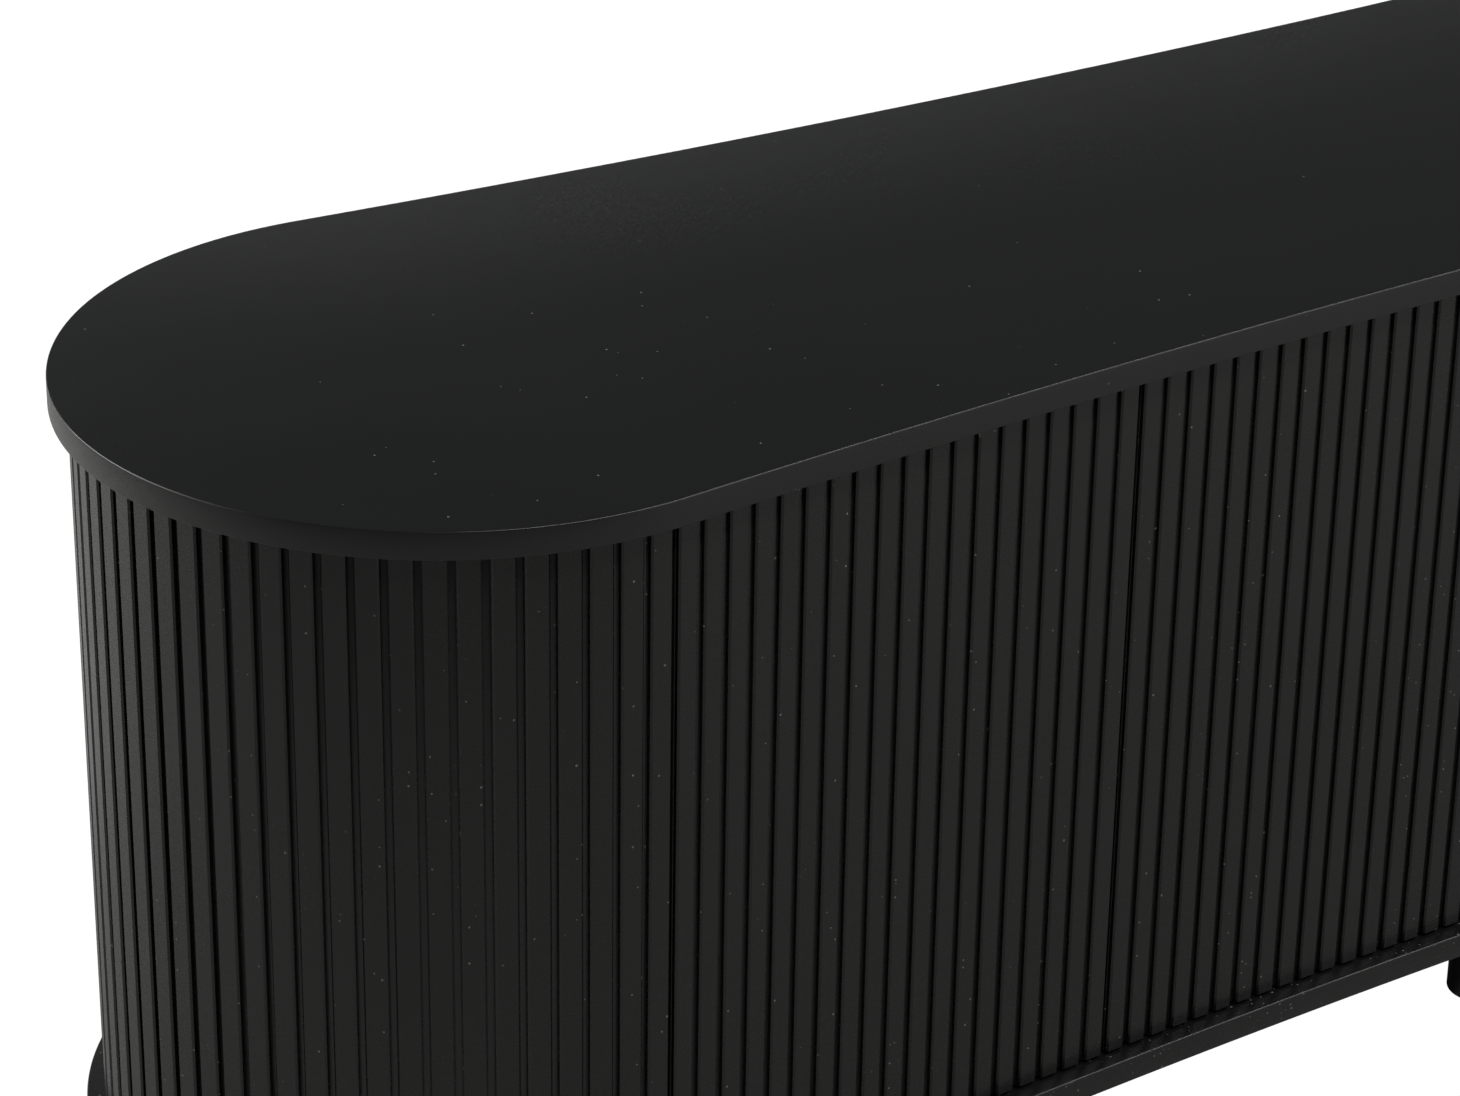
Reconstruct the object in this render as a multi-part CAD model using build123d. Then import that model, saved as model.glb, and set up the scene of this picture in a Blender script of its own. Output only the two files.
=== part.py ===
from build123d import *
import math
import os

os.makedirs("parts", exist_ok=True)

# Low sideboard. Origin on the floor under its centre, +X along its length, front towards -Y, +Z up.
# Plan: a round end on each side, joined front and back by one long shallow hollow curve.

# ---- driving dimensions, millimetres ----
length = 1800.0
end_depth = 450.0
waist_depth = 390.0
total_height = 545.0
foot_height = 52.0
slab_thickness = 17.0
slab_arris = 0.8

# slats and the surfaces they are glued to
land_inset = 11.0
slat_thickness = 3.5
groove_width = 4.3
slat_pitch = 17.3
end_slat_pitch = 17.9
slat_arris = 0.5
glue_line = 0.01
end_slat_gap = 0.6

# boards
door_core_thickness = 15.0
shell_thickness = 15.0
upright_thickness = 16.0
shelf_thickness = 16.0
back_thickness = 6.0
back_inset = 16.0
former_thickness = 12.0
former_width = 60.0
batten_size = 20.0

# clearances
door_side_gap = 1.5
door_end_gap = 2.0
door_back_gap = 2.0
upright_fit = 0.3
back_fit = 0.1
shelf_side_gap = 1.0
shelf_back_gap = 3.0
shelf_setback = 14.0
hole_fit = 0.03

# pivot hinges
pin_radius = 2.0
pin_from_edge = 5.6
pin_from_face = 4.6
pin_depth = 6.0
pin_bore_fit = 0.6
running_fit = 0.05
knuckle_radius = 3.2
leaf_thickness = 2.5
leaf_length = 42.0
leaf_width = 9.0
leaf_from_face = 5.5
leaf_fit = 0.2
washer_radius = 4.2
washer_play = 0.1
leaf_screw_at = (16.0, 34.0)
leaf_screw_radius = 1.5
leaf_screw_length = 13.0
leaf_screw_head = 2.6
head_height = 1.4

# push latches
latch_from_meeting = 20.0
latch_width = 16.0
latch_height = 15.0
latch_length = 62.0
latch_flange = 3.0
latch_flange_reach = 8.0
latch_bore_wall = 6.0
plunger_radius = 3.6
plunger_fit = 0.1
plunger_length = 40.0
plunger_out = 4.0
plunger_stroke = 2.5
strike_gap = 0.3
strike_thickness = 1.5
strike_width = 16.0
strike_height = 34.0
latch_screw_radius = 1.7
latch_screw_length = 14.0
latch_screw_head = 3.2

# shelf pins and their holes
shelf_pin_radius = 2.5
shelf_pin_length = 16.0
shelf_pin_sunk = 7.0
pin_column_y = 115.0
pin_hole_step = 32.0

# fasteners of the carcase
dowel_radius = 4.0
dowel_length = 30.0
dowel_in_top = 10.0
dowel_column_y = 80.0
base_screw_radius = 3.0
base_screw_length = 50.0
base_screw_head = 5.0
base_screw_column_y = 112.0
back_screw_radius = 1.5
back_screw_length = 18.0
back_screw_head = 3.4
back_screw_head_height = 1.8
back_screw_seat = 0.02

# feet
foot_radius = 20.0
foot_bottom_arris = 2.0
foot_from_end_centre = 25.0
foot_from_end_edge = 35.0
foot_from_waist_edge = 27.0
glide_radius = 14.0
glide_thickness = 3.0
glide_out = 1.0
stud_radius = 4.0
stud_in_foot = 20.0
stud_in_base = 13.0

# ---- derived geometry ----
end_radius = end_depth / 2
end_x = length / 2 - end_radius
waist_half = waist_depth / 2
side_radius = (end_x ** 2 + waist_half ** 2 - end_radius ** 2) / (2 * (end_radius - waist_half))
side_centre = waist_half + side_radius
tangent_angle = math.atan2(end_x, side_centre)

base_z = foot_height
body_z0 = foot_height + slab_thickness
body_z1 = total_height - slab_thickness
body_height = body_z1 - body_z0
door_z0 = body_z0 + door_end_gap
door_z1 = body_z1 - door_end_gap

core_inset = land_inset + slat_thickness
door_inner_inset = core_inset + door_core_thickness
shell_inner_inset = core_inset + shell_thickness
front_edge_inset = door_inner_inset + door_back_gap
back_inner_inset = back_inset + back_thickness

half_front_arc = (side_radius + land_inset) * tangent_angle
slats_per_door = max(2, round(half_front_arc / 2 / slat_pitch))
door_angle = tangent_angle / 2
slat_angle = door_angle / slats_per_door
front_slat_width = slat_angle * (side_radius + land_inset) - groove_width
end_sweep = math.pi + 2 * tangent_angle
end_slat_count = round(end_sweep * (end_radius - core_inset) / end_slat_pitch)
end_slat_angle = end_sweep / end_slat_count
end_slat_width = end_slat_angle * (end_radius - land_inset) - groove_width
upright_x = end_x - (end_radius - core_inset) * math.sin(tangent_angle) - upright_fit
upright_inner_x = upright_x - upright_thickness
shelf_z = (body_z0 + body_z1) / 2
strike_inset = door_inner_inset + strike_thickness
plunger_tip_inset = strike_inset + strike_gap
latch_axis_z = body_z1 - latch_flange - latch_height / 2
foot_column_x = end_x - foot_from_end_centre
end_foot_y = end_radius - foot_from_end_edge
middle_foot_y = waist_half - foot_from_waist_edge


# ---- plan helpers ----
def box_between(x0, x1, y0, y1, z0, z1):
    centre = Pos((x0 + x1) / 2, (y0 + y1) / 2, (z0 + z1) / 2)
    return centre * Box(abs(x1 - x0), abs(y1 - y0), abs(z1 - z0))


def plan_face(inset):
    radius = end_radius - inset
    tx = end_x - radius * math.sin(tangent_angle)
    ty = radius * math.cos(tangent_angle)
    middle = waist_half - inset
    front = ThreePointArc((-tx, -ty), (0, -middle), (tx, -ty))
    right = ThreePointArc((tx, -ty), (end_x + radius, 0), (tx, ty))
    back = ThreePointArc((tx, ty), (0, middle), (-tx, ty))
    left = ThreePointArc((-tx, ty), (-end_x - radius, 0), (-tx, -ty))
    return make_face(Wire([front, right, back, left]))


def plan_solid(inset, z0, z1):
    return Pos(0, 0, z0) * extrude(plan_face(inset), z1 - z0)


def front_point(angle, inset, along=0.0):
    # A point on the hollow front: angle about the far centre, inset from the slab's edge,
    # and a straight distance along the tangent.
    reach = side_radius + inset
    x = reach * math.sin(angle) + along * math.cos(angle)
    y = -side_centre + reach * math.cos(angle) - along * math.sin(angle)
    return x, y


def front_sector(outer_inset, inner_inset, start, stop, start_gap, stop_gap, z0, z1):
    # A curved board of the front between two angles, its ends square to the curve.
    ends = []
    for angle, gap in ((start, start_gap), (stop, -stop_gap)):
        ends.append((front_point(angle, outer_inset, gap), front_point(angle, inner_inset, gap)))
    middle = (start + stop) / 2
    outer = ThreePointArc(ends[0][0], front_point(middle, outer_inset), ends[1][0])
    inner = ThreePointArc(ends[1][1], front_point(middle, inner_inset), ends[0][1])
    outline = Wire([outer, Line(ends[1][0], ends[1][1]), inner, Line(ends[0][1], ends[0][0])])
    return Pos(0, 0, z0) * extrude(make_face(outline), z1 - z0)


def local_box(angle, direction, u0, u1, inset0, inset1, z0, z1):
    # A box square to the front at one angle; u runs along the front from there.
    x, y = front_point(angle, (inset0 + inset1) / 2, direction * (u0 + u1) / 2)
    place = Pos(x, y, (z0 + z1) / 2) * Rot(0, 0, -math.degrees(angle))
    return place * Box(abs(u1 - u0), inset1 - inset0, z1 - z0)


def upright_cylinder(x, y, z0, z1, radius):
    return Pos(x, y, (z0 + z1) / 2) * Cylinder(radius, z1 - z0)


def mirrored(shape):
    return mirror(shape, about=Plane.YZ)


def backwards(shape):
    return mirror(shape, about=Plane.XZ)


def save(name, shapes):
    solids = []
    for shape in shapes if isinstance(shapes, (list, tuple)) else [shapes]:
        solids.extend(shape.solids())
    whole = solids[0] if len(solids) == 1 else Compound(children=solids)
    export_step(whole, f"parts/{name}.step")


def slat(width, z0, z1):
    # One slat standing with its face at y = 0 and its back at +y.
    outline = Pos(0, slat_thickness / 2) * Rectangle(width, slat_thickness)
    front_corners = outline.vertices().sort_by(Axis.Y)[:2]
    outline = fillet(front_corners, slat_arris)
    return Pos(0, 0, z0) * extrude(outline, z1 - z0)


def vertical_screw(x, y, face_z, direction, radius, reach, head_radius, head):
    # Countersunk screw whose flat head lies in the face; direction is the way its point goes.
    head_cone = Cone(head_radius, radius, head)
    shank = Pos(0, 0, reach / 2) * Cylinder(radius, reach)
    body = shank + Pos(0, 0, head / 2) * head_cone
    turn = Rot(0, 0, 0) if direction > 0 else Rot(180, 0, 0)
    return Pos(x, y, face_z) * turn * body


# ---- pivot hinge: a leaf let into the slab, a leaf let into the door, a pin through both ----
def leaf_outline(angle, direction, grow, z0, z1):
    x, y = front_point(angle, land_inset + pin_from_face, direction * pin_from_edge)
    knuckle = upright_cylinder(x, y, z0, z1, knuckle_radius + grow)
    inset0 = land_inset + leaf_from_face - grow
    inset1 = land_inset + leaf_from_face + leaf_width + grow
    tongue = local_box(angle, direction, pin_from_edge, leaf_length + grow, inset0, inset1, z0, z1)
    return knuckle + tongue


def leaf_screws(angle, direction, face_z, way, grow):
    screws = []
    for along in leaf_screw_at:
        depth = land_inset + leaf_from_face + leaf_width / 2
        x, y = front_point(angle, depth, direction * along)
        screws.append(vertical_screw(x, y, face_z, way, leaf_screw_radius + grow,
                                     leaf_screw_length + grow, leaf_screw_head + grow, head_height))
    return screws


def pin_place(angle, direction):
    return front_point(angle, land_inset + pin_from_face, direction * pin_from_edge)


def hinge_set(angle, direction):
    # Both hinges of one door. Returns the pieces, and what is cut for them from slabs and door.
    x, y = pin_place(angle, direction)
    pieces = {"slab_leaves": [], "door_leaves": [], "pins": [], "washers": [],
              "slab_screws": [], "door_screws": [], "slab_cuts": [], "door_cuts": []}
    for face_z, edge_z, way in ((body_z1, door_z1, 1), (body_z0, door_z0, -1)):
        leaf_end = face_z + way * leaf_thickness
        door_leaf_end = edge_z - way * leaf_thickness
        slab_z = sorted((face_z, leaf_end))
        door_z = sorted((edge_z, door_leaf_end))
        slab_leaf = leaf_outline(angle, direction, 0, *slab_z)
        door_leaf = leaf_outline(angle, direction, 0, *door_z)
        slab_leaf -= upright_cylinder(x, y, *slab_z, pin_radius + hole_fit)
        door_leaf -= upright_cylinder(x, y, *door_z, pin_radius + running_fit)
        for hole in leaf_screws(angle, direction, face_z, way, hole_fit):
            slab_leaf -= hole
            pieces["slab_cuts"].append(hole)
        for hole in leaf_screws(angle, direction, edge_z, -way, hole_fit):
            door_leaf -= hole
            pieces["door_cuts"].append(hole)
        pieces["slab_leaves"].append(slab_leaf)
        pieces["door_leaves"].append(door_leaf)
        pieces["slab_screws"] += leaf_screws(angle, direction, face_z, way, 0)
        pieces["door_screws"] += leaf_screws(angle, direction, edge_z, -way, 0)
        pin_far = door_leaf_end - way * pin_depth
        pieces["pins"].append(upright_cylinder(x, y, *sorted((leaf_end, pin_far)), pin_radius))
        washer_z = sorted((edge_z + way * washer_play, face_z - way * washer_play))
        washer = upright_cylinder(x, y, *washer_z, washer_radius)
        pieces["washers"].append(washer - upright_cylinder(x, y, *washer_z, pin_radius + washer_play))
        pieces["slab_cuts"].append(leaf_outline(angle, direction, leaf_fit, *slab_z))
        pieces["door_cuts"].append(leaf_outline(angle, direction, leaf_fit, *door_z))
        bore_far = pin_far - way * pin_bore_fit
        bore_z = sorted((edge_z, bore_far))
        pieces["door_cuts"].append(upright_cylinder(x, y, *bore_z, pin_radius + pin_bore_fit))
    return pieces


# ---- doors ----
def front_slats(start, count, z0, z1):
    one = slat(front_slat_width, z0, z1)
    slats = []
    for index in range(count):
        angle = start + (index + 0.5) * slat_angle
        x, y = front_point(angle, land_inset - glue_line)
        slats.append(Pos(x, y, 0) * Rot(0, 0, -math.degrees(angle)) * one)
    return slats


def door(start, hinge_at_start):
    stop = start + door_angle
    hinges = hinge_set(start, 1) if hinge_at_start else hinge_set(stop, -1)
    core = front_sector(core_inset, door_inner_inset, start, stop, door_side_gap, door_side_gap,
                        door_z0, door_z1)
    slats = front_slats(start, slats_per_door, door_z0, door_z1)
    edge_slat = 0 if hinge_at_start else slats_per_door - 1
    for cut in hinges["door_cuts"]:
        core -= cut
        slats[edge_slat] -= cut
    return core, slats, hinges


def strike_plate(angle, direction):
    z0 = latch_axis_z - strike_height / 2
    z1 = min(latch_axis_z + strike_height / 2, door_z1)
    u0 = latch_from_meeting - strike_width / 2
    return local_box(angle, direction, u0, u0 + strike_width, door_inner_inset, strike_inset, z0, z1)


outer_left = door(-tangent_angle, True)
inner_left = door(-door_angle, False)
outer_strike = strike_plate(-door_angle, -1)
inner_strike = strike_plate(-door_angle, 1)

for side, flip in (("left", lambda shape: shape), ("right", mirrored)):
    for name, parts, strike in (("outer", outer_left, outer_strike), ("inner", inner_left, inner_strike)):
        core, slats, hinges = parts
        save(f"{name}_{side}_door_core", flip(core))
        save(f"{name}_{side}_door_slats", [flip(piece) for piece in slats])
        save(f"{name}_{side}_door_leaves", [flip(piece) for piece in hinges["door_leaves"]])
        save(f"{name}_{side}_door_leaf_screws", [flip(piece) for piece in hinges["door_screws"]])
        save(f"{name}_{side}_strike_plate", flip(strike))

hinge_sets = [outer_left[2], inner_left[2]]


def both_sides(key):
    left = [piece for hinges in hinge_sets for piece in hinges[key]]
    return left + [mirrored(piece) for piece in left]


slab_leaves = both_sides("slab_leaves")
save("top_hinge_leaves", slab_leaves[0::2])
save("bottom_hinge_leaves", slab_leaves[1::2])
save("hinge_pins", both_sides("pins"))
save("hinge_washers", both_sides("washers"))
save("slab_leaf_screws", both_sides("slab_screws"))
slab_cuts = both_sides("slab_cuts")


# ---- push latches under the top, two at each place where two doors meet ----
def latch(direction):
    # Housing, plunger and screws; the plunger's axis runs front to back.
    x, front = front_point(-door_angle, plunger_tip_inset, direction * latch_from_meeting)
    z = latch_axis_z
    face = front + plunger_out
    half = latch_width / 2
    housing = box_between(x - half, x + half, face, face + latch_length,
                          z - latch_height / 2, z + latch_height / 2)
    flange_face = face + latch_length / 4
    flange_end = face + latch_length * 3 / 4
    reach = half + latch_flange_reach
    housing += box_between(x - reach, x + reach, flange_face, flange_end, body_z1 - latch_flange, body_z1)
    bore_length = plunger_length - plunger_out + plunger_stroke + latch_bore_wall
    along = Rot(90, 0, 0)
    bore = Pos(x, face + bore_length / 2, z) * along * Cylinder(plunger_radius + plunger_fit, bore_length)
    housing -= bore
    rod = Pos(x, front + plunger_length / 2, z) * along * Cylinder(plunger_radius, plunger_length)
    tip = rod.edges().sort_by(Axis.Y)[0]
    rod = fillet(tip, plunger_radius / 2)
    screws = []
    holes = []
    for offset in (-1, 1):
        place = (x + offset * (half + latch_flange_reach / 2), (flange_face + flange_end) / 2)
        shape = (latch_screw_radius, latch_screw_length, latch_screw_head, head_height)
        grown = (latch_screw_radius + hole_fit, latch_screw_length + hole_fit,
                 latch_screw_head + hole_fit, head_height)
        screws.append(vertical_screw(*place, body_z1 - latch_flange, 1, *shape))
        holes.append(vertical_screw(*place, body_z1 - latch_flange, 1, *grown))
    for hole in holes:
        housing -= hole
    return housing, rod, screws, holes


latch_screws = []
latch_holes = []
for name, direction in (("outer", -1), ("inner", 1)):
    housing, rod, screws, holes = latch(direction)
    save(f"{name}_left_latch_housing", housing)
    save(f"{name}_right_latch_housing", mirrored(housing))
    save(f"{name}_left_latch_plunger", rod)
    save(f"{name}_right_latch_plunger", mirrored(rod))
    latch_screws += screws + [mirrored(piece) for piece in screws]
    latch_holes += holes + [mirrored(piece) for piece in holes]
save("latch_screws", latch_screws)


# ---- uprights: two at the ends of the front, one in the middle ----
def interior(front_inset, back_inset_here, z0, z1):
    wide = length
    front_half = plan_solid(front_inset, z0, z1) & box_between(-wide, wide, -wide, 0, z0, z1)
    back_half = plan_solid(back_inset_here, z0, z1) & box_between(-wide, wide, 0, wide, z0, z1)
    return front_half + back_half


room = interior(front_edge_inset, back_inner_inset + back_fit, body_z0, body_z1)
left_upright = room & box_between(-upright_x, -upright_inner_x, -length, length, body_z0, body_z1)
middle_half = upright_thickness / 2
middle_upright = room & box_between(-middle_half, middle_half, -length, length, body_z0, body_z1)

# shelf pins and the rows of holes that take them
pin_z = shelf_z - shelf_thickness / 2 - shelf_pin_radius
sideways = Rot(0, 90, 0)


def pin_between(x0, x1, y, z, radius):
    return Pos((x0 + x1) / 2, y, z) * sideways * Cylinder(radius, abs(x1 - x0))


shelf_pins = []
for y in (-pin_column_y, pin_column_y):
    out = shelf_pin_length - shelf_pin_sunk
    shelf_pins.append(pin_between(-upright_inner_x - shelf_pin_sunk, -upright_inner_x + out, y, pin_z,
                                  shelf_pin_radius))
    shelf_pins.append(pin_between(-middle_half - out, -middle_half + shelf_pin_sunk, y, pin_z,
                                  shelf_pin_radius))
    for step in (-1, 0, 1):
        z = pin_z + step * pin_hole_step
        radius = shelf_pin_radius + hole_fit
        left_upright -= pin_between(-upright_inner_x - shelf_pin_sunk - hole_fit, -upright_inner_x, y, z,
                                    radius)
        for side in (-1, 1):
            middle_upright -= pin_between(side * middle_half, side * (middle_half - shelf_pin_sunk - hole_fit),
                                          y, z, radius)
save("shelf_pins", shelf_pins + [mirrored(piece) for piece in shelf_pins])

# adjustable shelves
shelf_room = interior(front_edge_inset + shelf_setback, back_inner_inset + shelf_back_gap,
                      shelf_z - shelf_thickness / 2, shelf_z + shelf_thickness / 2)
left_shelf = shelf_room & box_between(-upright_inner_x + shelf_side_gap, -middle_half - shelf_side_gap,
                                      -length, length, 0, total_height)
save("left_shelf", left_shelf)
save("right_shelf", mirrored(left_shelf))

# dowels into the top, screws up from the base
upright_lines = [-(upright_x + upright_inner_x) / 2, 0.0, (upright_x + upright_inner_x) / 2]
dowels = []
dowel_holes = []
base_screws = []
base_holes = []
for x in upright_lines:
    for side in (-1, 1):
        z0 = body_z1 + dowel_in_top - dowel_length
        z1 = body_z1 + dowel_in_top
        dowels.append(upright_cylinder(x, side * dowel_column_y, z0, z1, dowel_radius))
        dowel_holes.append(upright_cylinder(x, side * dowel_column_y, z0 - hole_fit, z1 + hole_fit,
                                            dowel_radius + hole_fit))
        place = (x, side * base_screw_column_y, base_z, 1)
        base_screws.append(vertical_screw(*place, base_screw_radius, base_screw_length,
                                          base_screw_head, head_height))
        base_holes.append(vertical_screw(*place, base_screw_radius + hole_fit, base_screw_length + hole_fit,
                                         base_screw_head + hole_fit, head_height))
save("dowels", dowels)
save("base_screws", base_screws)

right_upright = mirrored(left_upright)


# ---- back: two thin curved panels screwed to the back edges of the uprights ----
def back_panel():
    panel = front_sector(back_inset, back_inner_inset, -tangent_angle, 0, 0, back_fit / 2,
                         body_z0 + back_fit, body_z1 - back_fit)
    return backwards(panel)


left_back = back_panel()
back_screws = []
back_holes = []
screw_angle = upright_lines[2] / side_radius
middle_screw_angle = middle_half / 2 / side_radius
for angle in (-screw_angle, -middle_screw_angle):
    for z in (body_z0 + body_height / 8, (body_z0 + body_z1) / 2, body_z1 - body_height / 8):
        x, y = front_point(angle, back_inset)
        for grow, group in ((0, back_screws), (hole_fit, back_holes)):
            radius = back_screw_radius + grow
            reach = back_screw_length + grow
            shank = Pos(0, (reach - back_screw_seat) / 2, 0) * Rot(90, 0, 0) * Cylinder(
                radius, reach + back_screw_seat)
            head = Pos(0, -back_screw_seat - back_screw_head_height / 2, 0) * Rot(90, 0, 0) * Cylinder(
                back_screw_head, back_screw_head_height)
            shape = shank + head if grow == 0 else shank
            group.append(backwards(Pos(x, y, z) * Rot(0, 0, -math.degrees(angle)) * shape))
for hole in back_holes:
    left_back -= hole
    left_upright -= hole
    middle_upright -= hole
    right_upright -= mirrored(hole)
    middle_upright -= mirrored(hole)
save("left_back_panel", left_back)
save("right_back_panel", mirrored(left_back))
save("back_panel_screws", back_screws + [mirrored(piece) for piece in back_screws])

for hole in dowel_holes + base_holes:
    left_upright -= hole
    middle_upright -= hole
    right_upright -= hole
save("left_upright", left_upright)
save("middle_upright", middle_upright)
save("right_upright", right_upright)


# ---- round ends: a bent shell, its slats, and the formers and battens that hold it ----
def end_ring(outer_inset, inner_inset, gap, z0, z1):
    # Left end: the ring between two insets, from front joint to back joint.
    outer = end_radius - outer_inset
    inner = end_radius - inner_inset
    points = []
    for radius in (outer, inner):
        angle = tangent_angle - gap / radius
        points.append((-end_x + radius * math.sin(angle), radius * math.cos(angle)))
    (ox, oy), (ix, iy) = points
    outer_arc = ThreePointArc((ox, -oy), (-end_x - outer, 0), (ox, oy))
    inner_arc = ThreePointArc((ix, iy), (-end_x - inner, 0), (ix, -iy))
    outline = Wire([outer_arc, Line((ox, oy), (ix, iy)), inner_arc, Line((ix, -iy), (ox, -oy))])
    return Pos(0, 0, z0) * extrude(make_face(outline), z1 - z0)


left_shell = end_ring(core_inset, shell_inner_inset, door_side_gap, body_z0, body_z1)
save("left_end_shell", left_shell)
save("right_end_shell", mirrored(left_shell))

end_slat = slat(end_slat_width, body_z0 + end_slat_gap, body_z1 - end_slat_gap)
end_slats = []
for index in range(end_slat_count):
    angle = -math.pi / 2 + tangent_angle - (index + 0.5) * end_slat_angle
    reach = end_radius - land_inset + glue_line
    place = Pos(-end_x + reach * math.cos(angle), reach * math.sin(angle), 0)
    end_slats.append(place * Rot(0, 0, math.degrees(angle) + 90) * end_slat)
save("left_end_slats", end_slats)
save("right_end_slats", [mirrored(piece) for piece in end_slats])

end_room = plan_solid(shell_inner_inset + back_fit, body_z0, body_z1)
batten_y = end_radius - shell_inner_inset
battens = []
for side in (-1, 1):
    block = box_between(-upright_x - batten_size, -upright_x, side * (batten_y - batten_size),
                        side * (batten_y + batten_size), body_z0, body_z1)
    battens.append(end_room & block)
save("end_battens", battens + [mirrored(piece) for piece in battens])

formers = []
for share in (1, 2):
    z = body_z0 + share * body_height / 3
    slice_box = box_between(-length, -upright_x, -length, length, z, z + former_thickness)
    former = end_room & slice_box
    former -= plan_solid(shell_inner_inset + former_width, z, z + former_thickness) & box_between(
        -length, -upright_x - former_width, -length, length, z, z + former_thickness)
    for batten in battens:
        former -= batten
    formers.append(former)
save("left_end_formers", formers)
save("right_end_formers", [mirrored(piece) for piece in formers])

# ---- feet ----
foot_places = {"left": [], "middle": [], "right": []}
for side in (-1, 1):
    foot_places["left"].append((-foot_column_x, side * end_foot_y))
    foot_places["middle"].append((0, side * middle_foot_y))
    foot_places["right"].append((foot_column_x, side * end_foot_y))

foot = upright_cylinder(0, 0, glide_out, foot_height, foot_radius)
foot = fillet(foot.edges().sort_by(Axis.Z)[0], foot_bottom_arris)
foot -= upright_cylinder(0, 0, 0, glide_thickness, glide_radius + hole_fit)
foot -= upright_cylinder(0, 0, foot_height - stud_in_foot - hole_fit, foot_height, stud_radius + hole_fit)
glide = upright_cylinder(0, 0, 0, glide_thickness, glide_radius)
stud = upright_cylinder(0, 0, foot_height - stud_in_foot, foot_height + stud_in_base, stud_radius)
stud_hole = upright_cylinder(0, 0, foot_height, foot_height + stud_in_base + hole_fit, stud_radius + hole_fit)
every_foot = [place for places in foot_places.values() for place in places]
for name, places in foot_places.items():
    save(f"{name}_feet", [Pos(x, y, 0) * foot for x, y in places])
save("foot_glides", [Pos(x, y, 0) * glide for x, y in every_foot])
save("foot_studs", [Pos(x, y, 0) * stud for x, y in every_foot])


# ---- top and base: the same board, with small rounded arrises ----
def slab(z0):
    board = plan_solid(0, z0, z0 + slab_thickness)
    rims = board.edges().filter_by(lambda edge: abs(edge.bounding_box().size.Z) < slab_arris)
    return fillet(rims, slab_arris)


top = slab(body_z1)
for hole in dowel_holes + latch_holes:
    top -= hole
base = slab(base_z)
for hole in base_holes:
    base -= hole
for x, y in every_foot:
    base -= Pos(x, y, 0) * stud_hole
for cut in slab_cuts:
    if cut.bounding_box().max.Z > body_z1:
        top -= cut
    else:
        base -= cut
save("top", top)
save("base", base)
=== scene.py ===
import math
import random

import bmesh
import bpy
from mathutils import Matrix, Vector


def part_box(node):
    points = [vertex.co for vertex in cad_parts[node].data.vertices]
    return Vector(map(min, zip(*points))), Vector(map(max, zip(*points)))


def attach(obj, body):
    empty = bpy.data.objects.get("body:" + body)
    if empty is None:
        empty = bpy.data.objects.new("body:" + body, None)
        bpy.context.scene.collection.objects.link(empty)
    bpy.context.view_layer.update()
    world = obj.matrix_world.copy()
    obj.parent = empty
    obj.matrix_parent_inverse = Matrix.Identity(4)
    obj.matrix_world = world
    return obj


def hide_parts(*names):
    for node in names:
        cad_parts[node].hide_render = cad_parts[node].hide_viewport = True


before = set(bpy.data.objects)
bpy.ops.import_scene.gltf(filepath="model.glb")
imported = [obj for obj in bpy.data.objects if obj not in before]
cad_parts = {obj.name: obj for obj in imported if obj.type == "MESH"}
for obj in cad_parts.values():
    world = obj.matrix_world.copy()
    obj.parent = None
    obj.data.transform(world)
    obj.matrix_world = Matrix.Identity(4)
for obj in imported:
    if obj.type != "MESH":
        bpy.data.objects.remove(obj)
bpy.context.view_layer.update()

# ---- The studio ----
# A pale seamless floor that the eye sees as clean white, a long strip over the front that
# draws the arrises, a soft box on each side and low cards behind the two ends.


def new_material(name, roughness, metallic=0.0):
    material = bpy.data.materials.new(name)
    material.use_nodes = True
    shader = material.node_tree.nodes["Principled BSDF"]
    shader.inputs["Roughness"].default_value = roughness
    shader.inputs["Metallic"].default_value = metallic
    return material, material.node_tree, shader


def node(tree, kind, **settings):
    made = tree.nodes.new(kind)
    for key, value in settings.items():
        setattr(made, key, value)
    return made


def sockets(made, **values):
    for key, value in values.items():
        made.inputs[key.replace("_", " ")].default_value = value
    return made


def let_go():
    bpy.ops.object.select_all(action="DESELECT")


floor_paint, tree, shader = new_material("studio_floor", 0.9)
seen = node(tree, "ShaderNodeLightPath")
speckle = sockets(node(tree, "ShaderNodeTexNoise"), Scale=3.0, Detail=4.0)
tint = node(tree, "ShaderNodeMix", data_type="RGBA")
tint.inputs[6].default_value = (0.34, 0.337, 0.330, 1)
tint.inputs[7].default_value = (0.38, 0.377, 0.370, 1)
place = node(tree, "ShaderNodeTexCoord")
white = sockets(node(tree, "ShaderNodeEmission"), Color=(1, 1, 1, 1), Strength=1.1)
mixed = node(tree, "ShaderNodeMixShader")
eye_share = node(tree, "ShaderNodeMath", operation="MULTIPLY")
eye_share.inputs[1].default_value = 0.93
tree.links.new(place.outputs["Object"], speckle.inputs["Vector"])
tree.links.new(speckle.outputs["Fac"], tint.inputs[0])
tree.links.new(tint.outputs[2], shader.inputs["Base Color"])
tree.links.new(seen.outputs["Is Camera Ray"], eye_share.inputs[0])
tree.links.new(eye_share.outputs[0], mixed.inputs["Fac"])
tree.links.new(shader.outputs[0], mixed.inputs[1])
tree.links.new(white.outputs[0], mixed.inputs[2])
tree.links.new(mixed.outputs[0], tree.nodes["Material Output"].inputs["Surface"])

let_go()
bpy.ops.mesh.primitive_plane_add(size=60)
floor = bpy.context.object
floor.name = "floor"
floor.data.materials.append(floor_paint)

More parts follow.
